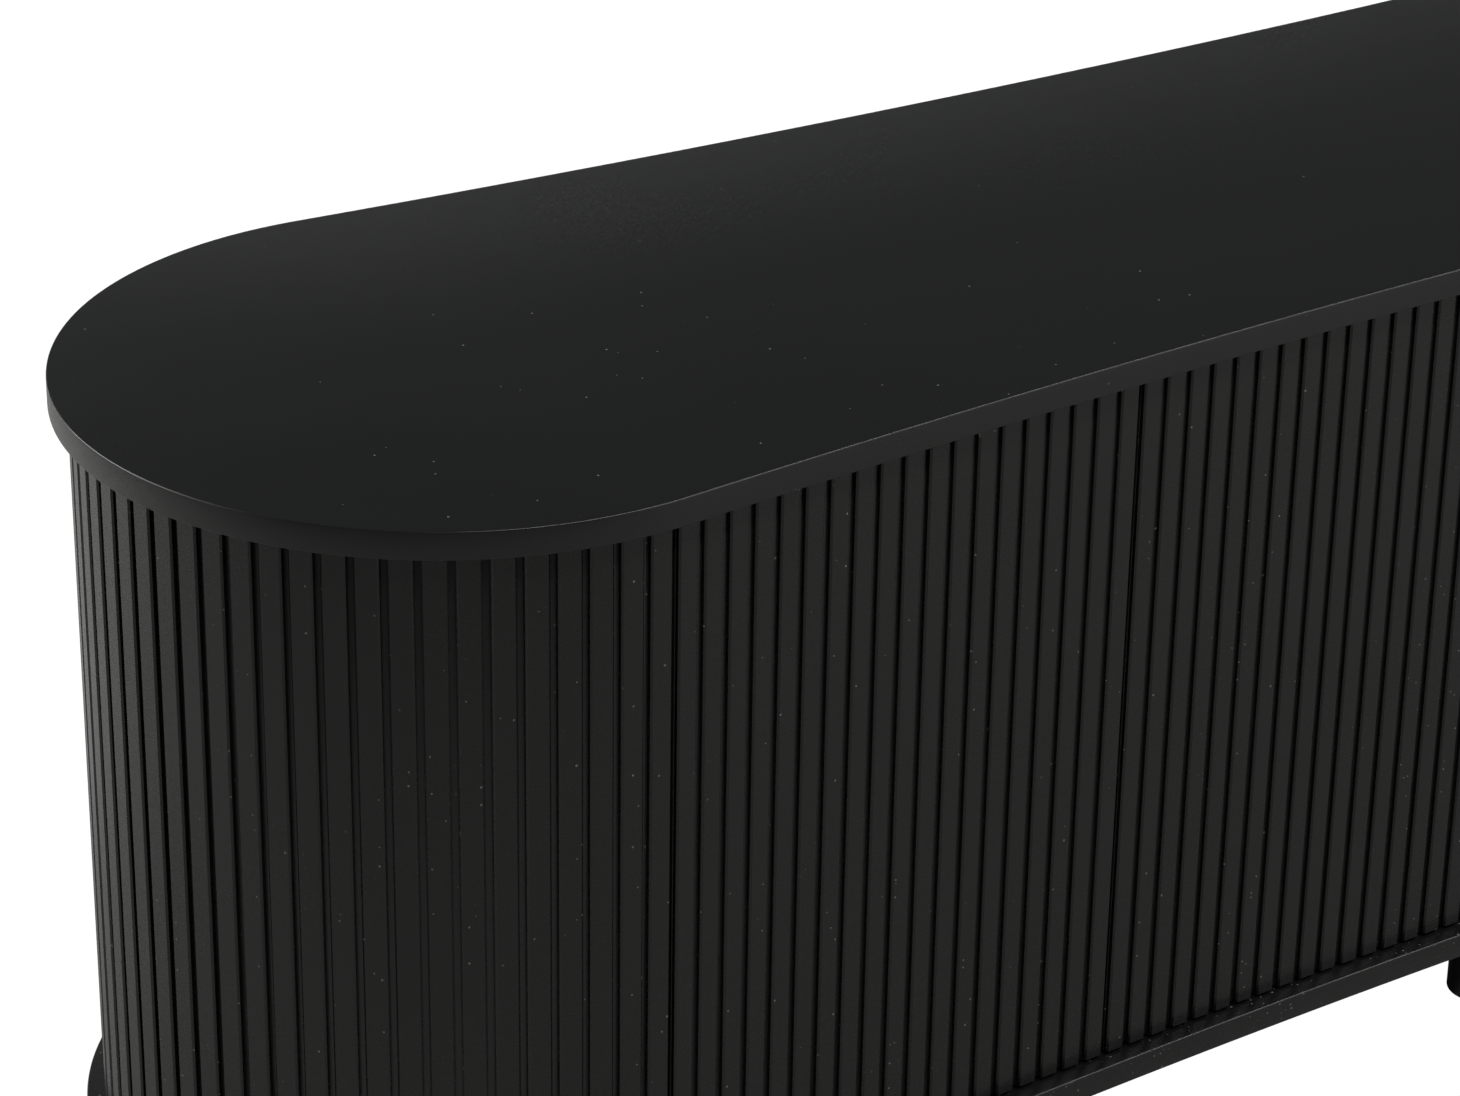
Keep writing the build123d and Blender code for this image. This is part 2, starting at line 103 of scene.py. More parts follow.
world = bpy.data.worlds.new("studio_air")
bpy.context.scene.world = world
world.use_nodes = True
air = world.node_tree
dim = air.nodes["Background"]
sockets(dim, Color=(0.97, 0.98, 1.0, 1), Strength=0.098)
bright = sockets(node(air, "ShaderNodeBackground"), Color=(1, 1, 1, 1), Strength=1.0)
eye = node(air, "ShaderNodeLightPath")
either = node(air, "ShaderNodeMixShader")
air.links.new(eye.outputs["Is Camera Ray"], either.inputs["Fac"])
air.links.new(dim.outputs[0], either.inputs[1])
air.links.new(bright.outputs[0], either.inputs[2])
air.links.new(either.outputs[0], air.nodes["World Output"].inputs["Surface"])


def soft_box(name, at, aim, width, height, power):
    """A rectangular lamp at a place, aimed at a point and left out of the view."""
    let_go()
    bpy.ops.object.light_add(type="AREA", location=at)
    lamp = bpy.context.object
    lamp.name = name
    lamp.data.shape = "RECTANGLE"
    lamp.data.size = width
    lamp.data.size_y = height
    lamp.data.energy = power
    lamp.visible_camera = False
    lamp.rotation_euler = (Vector(aim) - Vector(at)).to_track_quat("-Z", "Y").to_euler()


soft_box("front_strip", (0.8, -1.4, 2.8), (0.5, -0.2, 0.5), 4.4, 0.4, 85)
soft_box("right_front", (1.8, -2.6, 0.9), (0.3, -0.2, 0.3), 2.0, 0.8, 16)
soft_box("left_floor", (-1.7, 1.1, 1.2), (-1.5, 0.9, 0), 1.2, 1.2, 26)
soft_box("left_wall", (-3.2, 0.8, 1.2), (-0.7, 0, 0.3), 1.6, 1.6, 12)
soft_box("back_left_card", (-1.2, 2.2, 0.28), (-0.8, 0.1, 0.25), 1.6, 0.5, 4)
soft_box("back_right_card", (1.3, 2.6, 0.28), (0.3, 0.2, 0.25), 2.4, 0.5, 30)

let_go()
bpy.ops.object.camera_add(location=(-1.8209, -2.0617, 1.5881))
camera = bpy.context.object
camera.name = "camera"
turned = Matrix.Rotation(math.radians(-32.96), 3, "Z")
tipped = Matrix.Rotation(math.radians(90 - 26.25), 3, "X")
rolled = Matrix.Rotation(math.radians(0.87), 3, "Z")
camera.rotation_euler = (turned @ tipped @ rolled).to_euler()
camera.data.lens = 112.58
camera.data.sensor_width = 36.0
bpy.context.scene.camera = camera
bpy.context.scene.view_settings.view_transform = "Standard"

# ---- Base board ----
# A 17 mm fibreboard slab sawn to the plan: two round ends joined by long, gently hollow
# sides. Edges and faces are sprayed satin black and the arrises rubbed to a small round.
END_RADIUS = 0.225
END_CENTRE = 0.675
WAIST = 0.195
HOLLOW_RADIUS = (END_CENTRE**2 + WAIST**2 - END_RADIUS**2) / (2 * (END_RADIUS - WAIST))
HOLLOW_CENTRE = WAIST + HOLLOW_RADIUS
JOIN_TURN = math.atan2(END_CENTRE, HOLLOW_CENTRE)
LAND_INSET = 0.011


def group(name, ins, outs):
    made = bpy.data.node_groups.new(name, "ShaderNodeTree")
    for socket, kind, value in ins:
        made.interface.new_socket(socket, in_out="INPUT", socket_type=kind).default_value = value
    for socket, kind in outs:
        made.interface.new_socket(socket, in_out="OUTPUT", socket_type=kind)
    return made, node(made, "NodeGroupInput"), node(made, "NodeGroupOutput")


def mapped(tree, source, low, high, to_low, to_high):
    made = node(tree, "ShaderNodeMapRange")
    for socket, value in zip(made.inputs[1:5], (low, high, to_low, to_high)):
        socket.default_value = value
    tree.links.new(source, made.inputs[0])
    return made.outputs[0]


def mixed_colour(tree, share, first, second):
    made = node(tree, "ShaderNodeMix", data_type="RGBA")
    for socket, value in zip((made.inputs[0], made.inputs[6], made.inputs[7]), (share, first, second)):
        if isinstance(value, (tuple, float)):
            socket.default_value = value
        else:
            tree.links.new(value, socket)
    return made.outputs[2]


def worked(tree, kind, first, second=None):
    made = node(tree, "ShaderNodeMath", operation=kind)
    for socket, value in zip(made.inputs, (first, second)):
        if isinstance(value, float):
            socket.default_value = value
        elif value is not None:
            tree.links.new(value, socket)
    return made.outputs[0]


# sprayed paint: slow drifts of tone, a fine orange peel and a dull grain in the sheen
spray, given, out = group(
    "sprayed_paint",
    [("Colour", "NodeSocketColor", (0.01, 0.01, 0.01, 1)), ("Drift", "NodeSocketFloat", 0.1),
     ("Roughness", "NodeSocketFloat", 0.4), ("Peel", "NodeSocketFloat", 1.0)],
    [("Colour", "NodeSocketColor"), ("Roughness", "NodeSocketFloat"), ("Height", "NodeSocketFloat")],
)
where = node(spray, "ShaderNodeTexCoord").outputs["Object"]
drift = sockets(node(spray, "ShaderNodeTexNoise"), Scale=5.0, Detail=3.0, Roughness=0.6)
grain = sockets(node(spray, "ShaderNodeTexNoise"), Scale=700.0, Detail=2.0, Roughness=0.7)
peel = sockets(node(spray, "ShaderNodeTexNoise"), Scale=260.0, Detail=1.5, Roughness=0.4)
for texture in (drift, grain, peel):
    spray.links.new(where, texture.inputs["Vector"])
centred = mapped(spray, drift.outputs["Fac"], 0.3, 0.7, -1.0, 1.0)
swing = worked(spray, "MULTIPLY", centred, given.outputs["Drift"])
level = worked(spray, "ADD", swing, 1.0)
toned = node(spray, "ShaderNodeVectorMath", operation="SCALE")
spray.links.new(given.outputs["Colour"], toned.inputs[0])
spray.links.new(level, toned.inputs["Scale"])
spray.links.new(toned.outputs[0], out.inputs["Colour"])
rub = mapped(spray, grain.outputs["Fac"], 0.25, 0.75, -0.025, 0.025)
slow = worked(spray, "MULTIPLY", centred, 0.03)
both = worked(spray, "ADD", rub, slow)
spray.links.new(worked(spray, "ADD", both, given.outputs["Roughness"]), out.inputs["Roughness"])
fine = worked(spray, "MULTIPLY", grain.outputs["Fac"], 0.25)
rise = worked(spray, "ADD", peel.outputs["Fac"], fine)
spray.links.new(worked(spray, "MULTIPLY", rise, given.outputs["Peel"]), out.inputs["Height"])

# dust: a thin scatter of pale specks, thicker where the input says so
DUST_CELLS = 300.0
dust, given, out = group(
    "settled_dust",
    [("Amount", "NodeSocketFloat", 0.3), ("Size", "NodeSocketFloat", 0.0007)],
    [("Specks", "NodeSocketFloat")],
)
where = node(dust, "ShaderNodeTexCoord").outputs["Object"]
cells = sockets(node(dust, "ShaderNodeTexVoronoi"), Scale=DUST_CELLS, Randomness=1.0)
dust.links.new(where, cells.inputs["Vector"])
parted = node(dust, "ShaderNodeSeparateColor")
dust.links.new(cells.outputs["Color"], parted.inputs[0])
chosen = worked(dust, "LESS_THAN", parted.outputs[0], given.outputs["Amount"])
sized = worked(dust, "MULTIPLY", given.outputs["Size"], parted.outputs[1])
reach = worked(dust, "MULTIPLY", sized, DUST_CELLS)
near = worked(dust, "LESS_THAN", cells.outputs["Distance"], reach)
dust.links.new(worked(dust, "MULTIPLY", chosen, near), out.inputs["Specks"])


def painted(name, colour, roughness, drift, peel, specks, tone_from=None):
    """A sprayed finish with its own tone, sheen and share of dust."""
    material, tree, shader = new_material(name, roughness)
    coat = node(tree, "ShaderNodeGroup", node_tree=spray)
    sockets(coat, Colour=(*colour, 1), Drift=drift, Roughness=roughness, Peel=peel)
    lint = sockets(node(tree, "ShaderNodeGroup", node_tree=dust), Amount=specks)
    colour_out = coat.outputs["Colour"]
    if tone_from:
        tone = node(tree, "ShaderNodeAttribute", attribute_name=tone_from)
        scaled = node(tree, "ShaderNodeVectorMath", operation="SCALE")
        tree.links.new(colour_out, scaled.inputs[0])
        tree.links.new(tone.outputs["Fac"], scaled.inputs["Scale"])
        colour_out = scaled.outputs[0]
    dusted = mixed_colour(tree, lint.outputs["Specks"], colour_out, (0.16, 0.155, 0.145, 1))
    relief = sockets(node(tree, "ShaderNodeBump"), Strength=1.0, Distance=0.000012)
    tree.links.new(coat.outputs["Height"], relief.inputs["Height"])
    tree.links.new(relief.outputs[0], shader.inputs["Normal"])
    tree.links.new(dusted, shader.inputs["Base Color"])
    tree.links.new(coat.outputs["Roughness"], shader.inputs["Roughness"])
    return material


board_black = painted("satin_black_board", (0.0062, 0.0065, 0.0064), 0.30, 0.05, 0.5, 0.012)
# the base board's paint is set a little darker than the top's, as painted shade for the ledge that lies
# under the slats; its thick scatter of pale specks is real dust
ledge_dust_and_painted_shade = painted("satin_black_ledge_dust_and_painted_shade", (0.0052, 0.0054, 0.0053), 0.30, 0.05, 0.5, 0.55)


def take(obj, kind, test):
    """In edit mode, selects what of one kind passes the test, by its place or its normal."""
    bpy.ops.mesh.select_mode(type=kind)
    bpy.ops.mesh.select_all(action="DESELECT")
    mesh = bmesh.from_edit_mesh(obj.data)
    if kind == "FACE":
        for face in mesh.faces:
            face.select = test(face.calc_center_median(), face.normal)
    else:
        for edge in mesh.edges:
            edge.select = test(*[end.co for end in edge.verts])
    mesh.select_flush_mode()
    bmesh.update_edit_mesh(obj.data)


def start_piece(name, primitive, size=None, **settings):
    """Adds a primitive alone in the selection, at its size and place, and opens it to edit."""
    let_go()
    primitive(**settings)
    made = bpy.context.object
    made.name = name
    if size:
        made.scale = size
    bpy.ops.object.transform_apply(location=True, rotation=True, scale=True)
    bpy.ops.object.mode_set(mode="EDIT")
    bpy.ops.mesh.select_mode(type="VERT")
    bpy.ops.mesh.select_all(action="SELECT")
    return made


def swing_round(centre, turn, steps):
    """Spins the selection anticlockwise about an upright axis."""
    bpy.ops.mesh.spin(steps=steps, angle=-turn, center=centre, axis=(0, 0, 1))


def soften(obj, test, width, rounds):
    take(obj, "EDGE", test)
    bpy.ops.mesh.bevel(offset=width, segments=rounds, profile=0.5, affect="EDGES")


def close_up():
    """Merges doubles, turns the faces outwards and leaves edit mode."""
    bpy.ops.mesh.select_mode(type="VERT")
    bpy.ops.mesh.select_all(action="SELECT")
    bpy.ops.mesh.remove_doubles(threshold=0.000002)
    bpy.ops.mesh.normals_make_consistent(inside=False)
    bpy.ops.object.mode_set(mode="OBJECT")


def cut_away(obj, cutter):
    """Takes a cutter's shape out of a piece, as a router or a drill would."""
    let_go()
    obj.select_set(True)
    bpy.context.view_layer.objects.active = obj
    knife = obj.modifiers.new("cut", "BOOLEAN")
    knife.operation = "DIFFERENCE"
    knife.solver = "EXACT"
    knife.object = cutter
    bpy.ops.object.modifier_apply(modifier="cut")
    bpy.data.objects.remove(cutter)


def into_one(name, parts):
    """Joins two or more like parts to one piece."""
    let_go()
    for part in parts:
        part.select_set(True)
    bpy.context.view_layer.objects.active = parts[0]
    bpy.ops.object.join()
    parts[0].name = name
    return parts[0]


def fit_piece(obj, material, body, node_name):
    """Smooths the rounds, paints the piece and hands it to the body that it moves with."""
    let_go()
    obj.select_set(True)
    bpy.context.view_layer.objects.active = obj
    bpy.ops.object.shade_smooth_by_angle(angle=math.radians(35))
    obj.data.materials.clear()
    obj.data.materials.append(material)
    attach(obj, body)
    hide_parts(node_name)


def level_edge(a, b):
    return abs(a.z - b.z) < 1e-6


SANDED = 0.0002
SLAB_ARRIS = 0.0008


def slab_board(name, z0, z1):
    """A board of the plan's outline, sanded back a little all round before the paint."""
    radius = END_RADIUS - SANDED
    tx = END_CENTRE - radius * math.sin(JOIN_TURN)
    ty = radius * math.cos(JOIN_TURN)
    made = start_piece(name, bpy.ops.mesh.primitive_plane_add, location=(tx, -ty, z0))
    bpy.ops.mesh.merge(type="CENTER")
    half_turn = math.pi + 2 * JOIN_TURN
    swing_round((END_CENTRE, 0, z0), half_turn, 96)
    swing_round((0, HOLLOW_CENTRE, z0), -2 * JOIN_TURN, 60)
    swing_round((-END_CENTRE, 0, z0), half_turn, 96)
    swing_round((0, -HOLLOW_CENTRE, z0), -2 * JOIN_TURN, 60)
    bpy.ops.mesh.select_all(action="SELECT")
    bpy.ops.mesh.remove_doubles(threshold=0.0001)
    bpy.ops.mesh.select_all(action="SELECT")
    bpy.ops.mesh.edge_face_add()
    bpy.ops.mesh.extrude_region_move(TRANSFORM_OT_translate={"value": (0, 0, z1 - z0)})
    soften(made, level_edge, SLAB_ARRIS, 4)
    close_up()
    return made


def front_place(angle, inset, along=0.0):
    """A point of the hollow front: swung from the middle, then inset, then along the tangent."""
    reach = HOLLOW_RADIUS + inset
    x = reach * math.sin(angle) + along * math.cos(angle)
    return x, reach * math.cos(angle) - along * math.sin(angle) - HOLLOW_CENTRE


# the pivots stand 5.6 mm in from a door's edge and 4.6 mm behind the faces of its slats
PIVOTS = {"outer": (-JOIN_TURN, 1), "inner": (0.0, -1)}
PIVOT_ALONG = 0.0056
PIVOT_INSET = LAND_INSET + 0.0046

# a leaf is 2.5 mm thick: a round eye at the pivot with a tongue beside it
LEAF_THICKNESS = 0.0025
EYE_RADIUS = 0.0034
TONGUE_HALF = (0.0183, 0.0047)
TONGUE_ALONG = 0.0239
TONGUE_INSET = LAND_INSET + 0.010
# the pin passes the leaf and goes on into the door
PIN_BORE_RADIUS = 0.0026
PIN_BORE_DEPTH = 0.0091


def post(radius, x, y, z0, z1):
    """A round upright cutter between two heights."""
    made = start_piece("post", bpy.ops.mesh.primitive_cylinder_add, vertices=32, radius=radius,
                       depth=z1 - z0, location=(x, y, (z0 + z1) / 2))
    close_up()
    return made


def leaf_cutter(which, side, face, into, bored):
    """The cutter for one leaf's pocket and a door's pin bore, going up (1) or down (-1)."""
    angle, way = PIVOTS[which]
    flip = 1 if side == "left" else -1
    outside = face - into * 0.001
    z0, z1 = sorted((outside, face + into * LEAF_THICKNESS))
    x, y = front_place(angle, PIVOT_INSET, way * PIVOT_ALONG)
    rounds = [post(EYE_RADIUS, flip * x, y, z0, z1)]
    if bored:
        bore_ends = sorted((face - into * 0.0008, face + into * PIN_BORE_DEPTH))
        rounds.append(post(PIN_BORE_RADIUS, flip * x, y, *bore_ends))
    x, y = front_place(angle, TONGUE_INSET, way * TONGUE_ALONG)
    tongue = start_piece("tongue", bpy.ops.mesh.primitive_cube_add, size=(*TONGUE_HALF, (z1 - z0) / 2),
                         location=(flip * x, y, (z0 + z1) / 2), rotation=(0, 0, -flip * angle))
    soften(tongue, lambda a, b: abs(a.z - b.z) > 0.001, 0.0012, 3)
    close_up()
    for added in rounds:
        let_go()
        tongue.select_set(True)
        bpy.context.view_layer.objects.active = tongue
        both = tongue.modifiers.new("both", "BOOLEAN")
        both.operation = "UNION"
        both.object = added
        bpy.ops.object.modifier_apply(modifier="both")
        bpy.data.objects.remove(added)
    return tongue


def all_pockets(face, into):
    """The four pockets of a slab, in one cutter."""
    return into_one("pockets", [leaf_cutter(which, side, face, into, False)
                                for which in PIVOTS for side in ("left", "right")])


base_low, base_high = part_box("base")
base_board = slab_board("base_board", base_low.z, base_high.z)
cut_away(base_board, all_pockets(base_high.z, -1))
# the screws go up into the three uprights, in two rows, and their heads sit in countersinks
upright_low, upright_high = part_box("right_upright")
upright_line = (upright_low.x + upright_high.x) / 2
SCREW_ROW = 0.112
sinks = []
for x in (-upright_line, 0.0, upright_line):
    for y in (-SCREW_ROW, SCREW_ROW):
        sinks.append(start_piece("sink", bpy.ops.mesh.primitive_cone_add, vertices=32, radius1=0.0057,
                                 radius2=0.0032, depth=0.0021, location=(x, y, base_low.z + 0.00085)))
        close_up()
cut_away(base_board, into_one("sinks", sinks))
# the base takes the darker paint: painted shade on its ledge, with real dust
fit_piece(base_board, ledge_dust_and_painted_shade, "carcase", "base")

# ---- Feet ----
# Six short round feet, 40 mm across, moulded in finely textured black plastic. Each is held
# by an M8 stud, its lower edge has a 2 mm round, and a felt glide sits in a shallow recess.
FOOT_RADIUS = 0.020
FOOT_BOTTOM = 0.001
FOOT_TOP = 0.052
FOOT_ROUND = 0.002
GLIDE_MARGIN = 0.0039
foot_black = painted("satin_black_foot", (0.0030, 0.0031, 0.0030), 0.34, 0.08, 1.2, 0.05)


def round_foot(x, y):
    """A round foot from just above the floor to the base, with its recess for the glide."""
    foot = start_piece("foot", bpy.ops.mesh.primitive_cylinder_add, vertices=96, radius=FOOT_RADIUS,
                       depth=FOOT_TOP - FOOT_BOTTOM, location=(x, y, (FOOT_BOTTOM + FOOT_TOP) / 2))
    soften(foot, lambda a, b: level_edge(a, b) and a.z < FOOT_BOTTOM + 0.001, FOOT_ROUND, 5)
    soften(foot, lambda a, b: level_edge(a, b) and a.z > FOOT_TOP - 0.0001, 0.0006, 2)
    take(foot, "FACE", lambda middle, normal: normal.z < -0.999)
    bpy.ops.mesh.inset(thickness=GLIDE_MARGIN)
    bpy.ops.mesh.extrude_region_move(TRANSFORM_OT_translate={"value": (0, 0, 0.002)})
    close_up()
    return foot


for column, x, y in (("left", -0.650, 0.190), ("middle", 0.0, 0.168), ("right", 0.650, 0.190)):
    pair = into_one(f"{column}_turned_feet", [round_foot(x, -y), round_foot(x, y)])
    fit_piece(pair, foot_black, "carcase", f"{column}_feet")

# felt: short matted fibres, so a dull fuzzy grey with soft lumps
felt_grey, tree, shader = new_material("felt_grey", 0.95)
where = node(tree, "ShaderNodeTexCoord").outputs["Object"]
fuzz = sockets(node(tree, "ShaderNodeTexNoise"), Scale=1400.0, Detail=3.0, Distortion=1.5)
tree.links.new(where, fuzz.inputs["Vector"])
fibres = mapped(tree, fuzz.outputs["Fac"], 0.3, 0.7, 0.0, 1.0)
tree.links.new(mixed_colour(tree, fibres, (0.03, 0.03, 0.031, 1), (0.09, 0.088, 0.085, 1)),
               shader.inputs["Base Color"])
lumps = sockets(node(tree, "ShaderNodeBump"), Strength=0.8, Distance=0.0003)
tree.links.new(fuzz.outputs["Fac"], lumps.inputs["Height"])
tree.links.new(lumps.outputs[0], shader.inputs["Normal"])
shader.inputs["Sheen Weight"].default_value = 0.3


def dress(nodes, material):
    """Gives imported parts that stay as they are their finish."""
    for name in nodes:
        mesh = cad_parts[name].data
        mesh.materials.clear()
        mesh.materials.append(material)


dress(["foot_glides"], felt_grey)


def metal(name, low, high, roughness, scale, stretch=(1, 1, 1)):
    """A plated or drawn metal: two tones in fine streaks or spangles, and an uneven sheen."""
    material, tree, shader = new_material(name, roughness, 1.0)
    where = node(tree, "ShaderNodeTexCoord").outputs["Object"]
    placed = sockets(node(tree, "ShaderNodeMapping"), Scale=stretch)
    tree.links.new(where, placed.inputs["Vector"])
    spangle = sockets(node(tree, "ShaderNodeTexNoise"), Scale=scale, Detail=4.0, Roughness=0.65)
    tree.links.new(placed.outputs[0], spangle.inputs["Vector"])
    share = mapped(tree, spangle.outputs["Fac"], 0.35, 0.65, 0.0, 1.0)
    tree.links.new(mixed_colour(tree, share, (*low, 1), (*high, 1)), shader.inputs["Base Color"])
    sheen = mapped(tree, spangle.outputs["Fac"], 0.3, 0.7, roughness - 0.07, roughness + 0.08)
    tree.links.new(sheen, shader.inputs["Roughness"])
    return material


zinc = metal("zinc_plate", (0.42, 0.43, 0.45), (0.60, 0.61, 0.62), 0.34, 900.0)
dress(["foot_studs"], zinc)

# ---- Uprights ----
# Three 16 mm boards faced with black melamine, one at each end of the front and one in the
# middle, drilled for shelf pins, dowelled to the top and screwed up through the base.
melamine, tree, shader = new_material("black_melamine", 0.5)
where = node(tree, "ShaderNodeTexCoord").outputs["Object"]
pores = sockets(node(tree, "ShaderNodeTexVoronoi"), Scale=520.0, Randomness=1.0)
cloud = sockets(node(tree, "ShaderNodeTexNoise"), Scale=9.0, Detail=4.0)
for texture in (pores, cloud):
    tree.links.new(where, texture.inputs["Vector"])
pits = mapped(tree, pores.outputs["Distance"], 0.05, 0.6, 0.0, 1.0)
patches = mapped(tree, cloud.outputs["Fac"], 0.3, 0.7, 0.0, 1.0)
board_tone = mixed_colour(tree, patches, (0.0145, 0.0146, 0.0150, 1), (0.0185, 0.0185, 0.0188, 1))
tree.links.new(mixed_colour(tree, pits, (0.010, 0.010, 0.0105, 1), board_tone),
               shader.inputs["Base Color"])
tree.links.new(mapped(tree, pores.outputs["Distance"], 0.0, 0.7, 0.56, 0.44), shader.inputs["Roughness"])
emboss = sockets(node(tree, "ShaderNodeBump"), Strength=0.7, Distance=0.00008)
tree.links.new(pores.outputs["Distance"], emboss.inputs["Height"])
tree.links.new(emboss.outputs[0], shader.inputs["Normal"])
dress(["left_upright", "middle_upright", "right_upright"], melamine)

beech, tree, shader = new_material("beech_dowel", 0.6)
where = node(tree, "ShaderNodeTexCoord").outputs["Object"]
along = sockets(node(tree, "ShaderNodeMapping"), Scale=(1.0, 1.0, 0.08))
tree.links.new(where, along.inputs["Vector"])
rays = sockets(node(tree, "ShaderNodeTexNoise"), Scale=900.0, Detail=3.0)
tree.links.new(along.outputs[0], rays.inputs["Vector"])
flecks = mapped(tree, rays.outputs["Fac"], 0.35, 0.65, 0.0, 1.0)
tree.links.new(mixed_colour(tree, flecks, (0.42, 0.27, 0.15, 1), (0.60, 0.42, 0.26, 1)),
               shader.inputs["Base Color"])
dress(["dowels"], beech)
dress(["base_screws"], zinc)

# ---- Round ends ----
# Each end is a shell of 15 mm bending plywood pulled round two formers and glued to upright
# battens. The shell is sprayed black, and the formers and battens inside are left bare.


def bent_board(name, centre, inner, outer, start, turn, steps, z0, z1, arris):
    """A board bent round an upright axis: its end section is drawn once and spun."""
    middle = (inner + outer) / 2
    at = (centre[0] + middle * math.cos(start), centre[1] + middle * math.sin(start), (z0 + z1) / 2)
    size = ((outer - inner) / 2, (z1 - z0) / 2, 1)
    made = start_piece(name, bpy.ops.mesh.primitive_plane_add, size=size, location=at,
                       rotation=(math.pi / 2, 0, start))
    swing_round((centre[0], centre[1], 0), turn, steps)
    bpy.ops.mesh.select_all(action="SELECT")
    bpy.ops.mesh.normals_make_consistent(inside=False)
    bpy.ops.mesh.select_mode(type="EDGE")
    bpy.ops.mesh.select_all(action="DESELECT")
    bpy.ops.mesh.edges_select_sharp(sharpness=math.radians(60))
    bpy.ops.mesh.bevel(offset=arris, segments=2, profile=0.5, affect="EDGES")
    close_up()
    return made


BOARD_ARRIS = 0.0004
EDGE_GAP = 0.0015
SHELL_THICKNESS = 0.015
SLAT_DEPTH = 0.0035
BACK_OF_SLATS = LAND_INSET + SLAT_DEPTH
# the shells are sprayed about twice as light as the slats, so the strips of shell seen at the floors of
# the grooves read as lit: painted light
shell_paint_with_painted_groove_light = painted("satin_black_shell_painted_groove_light", (0.0110, 0.0110, 0.0107), 0.36, 0.06, 1.0, 0.04)
shell_radius = END_RADIUS - BACK_OF_SLATS
gap_turn = EDGE_GAP / shell_radius
for side, flip in (("left", -1), ("right", 1)):
    low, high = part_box(f"{side}_end_shell")
    start = -flip * math.pi / 2 - JOIN_TURN + gap_turn
    turn = math.pi + 2 * JOIN_TURN - 2 * gap_turn
    shell = bent_board(f"{side}_bent_shell", (flip * END_CENTRE, 0), shell_radius - SHELL_THICKNESS,
                       shell_radius, start, turn, 80, low.z, high.z, BOARD_ARRIS)
    fit_piece(shell, shell_paint_with_painted_groove_light, "carcase", f"{side}_end_shell")

ply, tree, shader = new_material("poplar_ply", 0.7)
where = node(tree, "ShaderNodeTexCoord").outputs["Object"]
lie = sockets(node(tree, "ShaderNodeMapping"), Scale=(1.0, 6.0, 25.0))
tree.links.new(where, lie.inputs["Vector"])
growth = sockets(node(tree, "ShaderNodeTexNoise"), Scale=22.0, Detail=5.0, Distortion=0.6)
tree.links.new(lie.outputs[0], growth.inputs["Vector"])
figure = mapped(tree, growth.outputs["Fac"], 0.3, 0.7, 0.0, 1.0)
tree.links.new(mixed_colour(tree, figure, (0.40, 0.27, 0.15, 1), (0.62, 0.47, 0.31, 1)),
               shader.inputs["Base Color"])
dress(["left_end_formers", "right_end_formers", "end_battens"], ply)

# ---- Slats ----
# Flat black slats 3.5 mm thick with chamfered front arrises, glued side by side to the shells
# and the doors with narrow gaps between. Each is set by hand, so no two sit quite alike.
slat_black = painted("satin_black_slat", (0.0050, 0.0049, 0.0046), 0.28, 0.07, 0.3, 0.07, "tone")
SLAT_CHAMFER = 0.0011
END_CHAMFER = 0.0002
slats_low, slats_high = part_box("left_end_slats")
slat_middle = (slats_low.z + slats_high.z) / 2
hand = random.Random(7)


def one_slat(width, z0, z1):
    """One slat standing with its face at y = 0 and its back at y = 3.5 mm."""
    slat = start_piece("slat", bpy.ops.mesh.primitive_cube_add,
                       size=(width / 2, SLAT_DEPTH / 2, (z1 - z0) / 2),
                       location=(0, SLAT_DEPTH / 2, (z0 + z1) / 2))
    soften(slat, lambda a, b: not level_edge(a, b) and a.y < 0.001, SLAT_CHAMFER, 1)
    before_back = SLAT_DEPTH - 0.0001
    soften(slat, lambda a, b: level_edge(a, b) and max(a.y, b.y) < before_back, END_CHAMFER, 1)
    close_up()
    return slat


def glued_slats(pattern, places):
    """Copies of a slat, each turned to its place, with a hand's small unevenness."""
    laid = []
    for x, y, turn in places:
        slat = pattern.copy()
        slat.data = pattern.data.copy()
        bpy.context.scene.collection.objects.link(slat)
        sideways = hand.uniform(-0.00013, 0.00013)
        twist = hand.uniform(-0.0035, 0.0035)
        lean = hand.uniform(-0.0003, 0.0003)
        middle = Matrix.Translation((0, 0, slat_middle))
        leaning = middle @ Matrix.Rotation(lean, 4, "Y") @ middle.inverted()
        nudge = Matrix.Translation((sideways, 0, 0)) @ Matrix.Rotation(twist, 4, "Z") @ leaning
        slat.data.transform(Matrix.Translation((x, y, 0)) @ Matrix.Rotation(turn, 4, "Z") @ nudge)
        tone = slat.data.attributes.new("tone", "FLOAT", "POINT")
        shade = hand.uniform(0.93, 1.07)
        tone.data.foreach_set("value", [shade] * len(slat.data.vertices))
        laid.append(slat)
    return laid


GROOVE = 0.0043
END_SLATS = 39
end_step = (math.pi + 2 * JOIN_TURN) / END_SLATS
end_reach = END_RADIUS - LAND_INSET
end_pattern = one_slat(end_step * end_reach - GROOVE, slats_low.z, slats_high.z)
for side, flip in (("left", 1), ("right", -1)):
    places = []
    for index in range(END_SLATS):
        angle = -math.pi / 2 + JOIN_TURN - (index + 0.5) * end_step
        x = -END_CENTRE + end_reach * math.cos(angle)
        places.append((flip * x, end_reach * math.sin(angle), flip * (angle + math.pi / 2)))
    row = into_one(f"{side}_end_slat_row", glued_slats(end_pattern, places))
    fit_piece(row, slat_black, "carcase", f"{side}_end_slats")
bpy.data.objects.remove(end_pattern)

